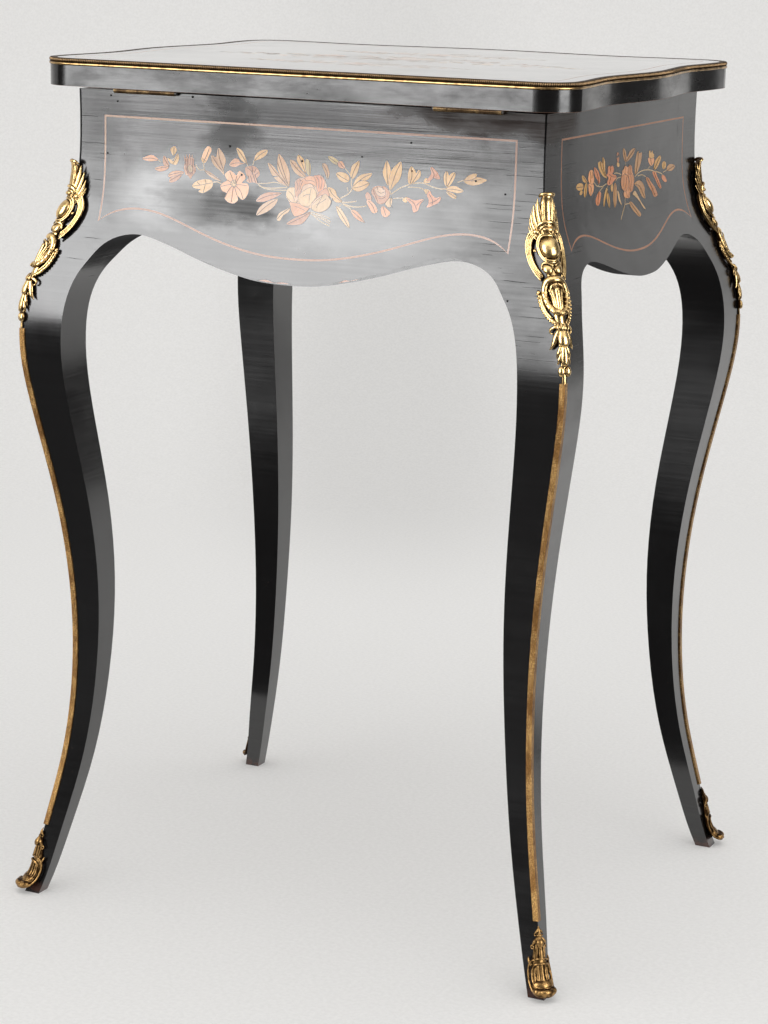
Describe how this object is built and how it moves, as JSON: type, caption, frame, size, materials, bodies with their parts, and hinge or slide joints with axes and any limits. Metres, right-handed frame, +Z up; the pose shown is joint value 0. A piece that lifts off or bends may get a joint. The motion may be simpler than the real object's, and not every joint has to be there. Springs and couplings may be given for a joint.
{
  "type": "dressing table",
  "caption": "Small bombe dressing table on cabriole legs with a hinged lid, an underlid mirror, a divided well, a key lock, floral marquetry and gilt mounts.",
  "frame": {"origin": "on the floor, under the middle of the table", "axes": "+X along the long side, +Y towards the hinge side, +Z up"},
  "size_m": [0.5192, 0.4372, 0.73],
  "materials": {
    "black_lacquer": "black ebonised veneer under a glossy, crazed varnish",
    "lining_wood": "satin polished hardwood lining",
    "secondary_wood": "bare planed softwood",
    "marquetry_veneer": "stained and engraved marquetry veneers under gloss varnish",
    "brass_line": "thin inlaid brass line, dulled",
    "gilt_brass": "cast and gilded, dark in the hollows",
    "aged_brass": "aged, brown in the low spots",
    "screw_steel": "plain steel, slightly darkened",
    "lock_steel": "worn polished steel",
    "mirror_glass": "silvered plate glass"
  },
  "bodies": {
    "carcass": {"leg_back_left": "black_lacquer", "leg_back_right": "black_lacquer", "leg_front_left": "black_lacquer", "leg_front_right": "black_lacquer", "apron_back": "black_lacquer", "apron_front": "black_lacquer", "apron_left": "black_lacquer", "apron_right": "black_lacquer", "bottom_ledges": "secondary_wood", "well_bottom": "secondary_wood", "well_lining_back": "lining_wood", "well_lining_front": "lining_wood", "well_lining_left": "lining_wood", "well_lining_right": "lining_wood", "well_partition_left": "lining_wood", "well_divider_left": "lining_wood", "well_partition_right": "lining_wood", "well_divider_right": "lining_wood", "hinge_left_carcass_leaf": "aged_brass", "hinge_left_pin": "screw_steel", "hinge_right_carcass_leaf": "aged_brass", "hinge_right_pin": "screw_steel", "carcass_hinge_screws": "screw_steel", "lock_case": "aged_brass", "escutcheon": "gilt_brass", "lock_screws": "screw_steel", "corner_mount_back_left": "gilt_brass", "leg_strip_back_left": "aged_brass", "sabot_back_left": "gilt_brass", "corner_mount_back_right": "gilt_brass", "leg_strip_back_right": "aged_brass", "sabot_back_right": "gilt_brass", "corner_mount_front_left": "gilt_brass", "leg_strip_front_left": "aged_brass", "sabot_front_left": "gilt_brass", "corner_mount_front_right": "gilt_brass", "leg_strip_front_right": "aged_brass", "sabot_front_right": "gilt_brass", "stringing_back": "brass_line", "marquetry_back": "marquetry_veneer", "stringing_front": "brass_line", "marquetry_front": "marquetry_veneer", "stringing_left": "brass_line", "marquetry_left": "marquetry_veneer", "stringing_right": "brass_line", "marquetry_right": "marquetry_veneer"},
    "lid": {"lid_panel": "black_lacquer", "lid_moulding": "gilt_brass", "lid_stringing": "brass_line", "lid_marquetry": "marquetry_veneer", "mirror_frame": "lining_wood", "mirror_glass": "mirror_glass", "hinge_left_lid_leaf": "aged_brass", "hinge_right_lid_leaf": "aged_brass", "lid_hinge_screws": "screw_steel", "strike_plate": "aged_brass", "strike_screws": "screw_steel"},
    "lock_bolt": {"lock_bolt": "aged_brass"},
    "key": {"key": "lock_steel"}
  },
  "joints": [
    {"name": "lid_hinge", "type": "hinge", "parent": "carcass", "child": "lid", "pos_m": [0, 0.1728, 0.7043], "axis": [-1, 0, 0], "range_deg": [0, 100]},
    {"name": "key_turn", "type": "hinge", "parent": "carcass", "child": "key", "pos_m": [0, -0.1698, 0.6925], "axis": [0, 1, 0], "range_deg": [0, 180]},
    {"name": "bolt_throw", "type": "slide", "parent": "carcass", "child": "lock_bolt", "axis": [1, 0, 0], "range_m": [0, 0.007]}
  ],
  "couplings": [
    {"joint": "bolt_throw", "follows": "key_turn", "m_per_rad": 0.002228}
  ]
}
